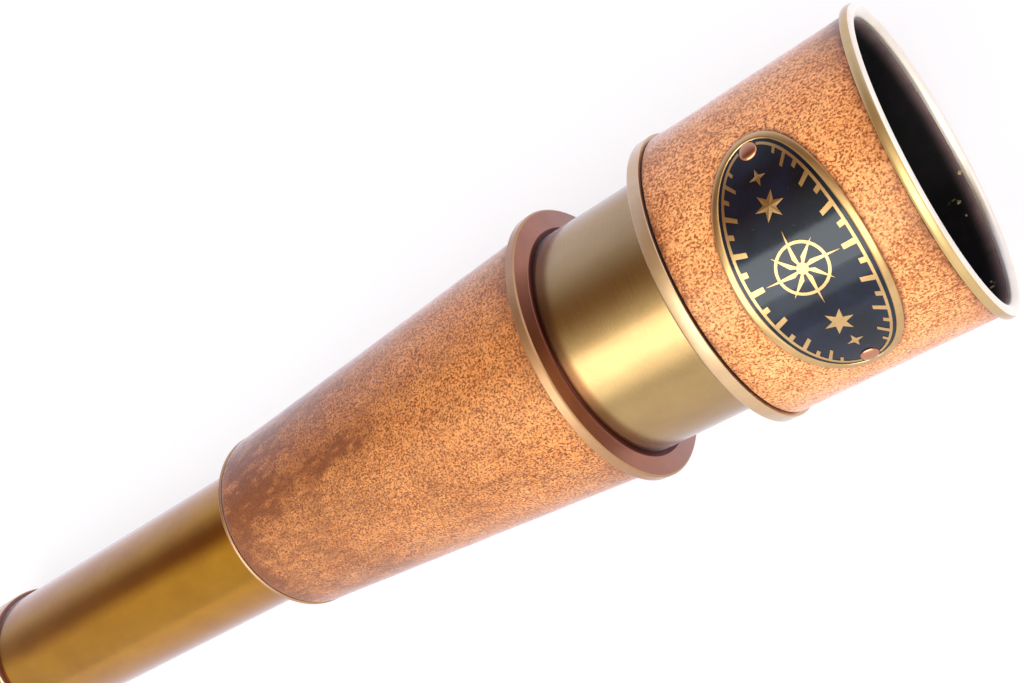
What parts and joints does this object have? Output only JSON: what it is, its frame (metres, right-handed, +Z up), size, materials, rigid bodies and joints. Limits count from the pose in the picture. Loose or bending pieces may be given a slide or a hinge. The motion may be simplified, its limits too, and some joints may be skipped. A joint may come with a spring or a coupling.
{
  "type": "hand telescope",
  "caption": "Hand telescope with a tapered leather-covered barrel, a sliding leather-covered sunshade with an oval plate, and one brass draw tube with its eyepiece.",
  "frame": {"origin": "on the optical axis, at the outer edge of the lens cap's seat inside the sunshade's mouth", "axes": "+X along the optical axis, out through the objective; +Z up as the telescope lies on its side"},
  "size_m": [0.3192, 0.06, 0.06],
  "materials": {
    "brass": "brushed, lacquered, lightly scratched",
    "dark_brass": "darkened, satin",
    "leather": "mottled tan, waxed, fine pores",
    "blackened": "matte black inside",
    "plate_brass": "polished relief",
    "enamel": "gloss black enamel",
    "copper": "copper-coloured, domed",
    "packing": "pressed felt",
    "glass": "clear, polished"
  },
  "bodies": {
    "barrel": {"objective_tube": "brass", "objective_cell": "blackened", "crown_lens": "glass", "flint_lens": "glass", "lens_retaining_ring": "blackened", "barrel_flange": "dark_brass", "barrel_tube": "brass", "barrel_leather": "leather", "barrel_end_ring": "brass", "packing_retainer": "dark_brass"},
    "shade_packing": {"shade_packing": "packing"},
    "sunshade": {"shade_tube": "blackened", "shade_leather": "leather", "shade_front_ring": "brass", "shade_rear_ring": "brass", "shade_guide_collar": "blackened", "name_plate": "plate_brass", "plate_enamel": "enamel", "plate_emblem": "plate_brass", "plate_pins": "copper"},
    "draw_packing": {"draw_packing": "packing"},
    "draw": {"draw_tube": "brass", "draw_stop_ring": "dark_brass", "draw_baffle": "blackened", "erector_tube": "blackened", "erector_collars": "dark_brass", "erector_front_lens": "glass", "erector_rear_lens": "glass", "erector_stop": "blackened", "erector_lens_rings": "dark_brass", "draw_collar": "brass", "eyepiece_tube": "brass", "field_lens": "glass", "field_lens_ring": "dark_brass", "eye_lens": "glass", "eye_cup": "brass"}
  },
  "joints": [
    {"name": "shade_slide", "type": "slide", "parent": "barrel", "child": "shade_packing", "axis": [-1, 0, 0], "range_m": [-0.004, 0.0255]},
    {"name": "shade_turn", "type": "hinge", "parent": "shade_packing", "child": "sunshade", "pos_m": [-0.04, 0, 0], "axis": [1, 0, 0], "continuous": true},
    {"name": "draw_turn", "type": "hinge", "parent": "barrel", "child": "draw_packing", "pos_m": [-0.155, 0, 0], "axis": [1, 0, 0], "continuous": true},
    {"name": "draw_slide", "type": "slide", "parent": "draw_packing", "child": "draw", "axis": [1, 0, 0], "range_m": [-0.001, 0.1012]}
  ]
}
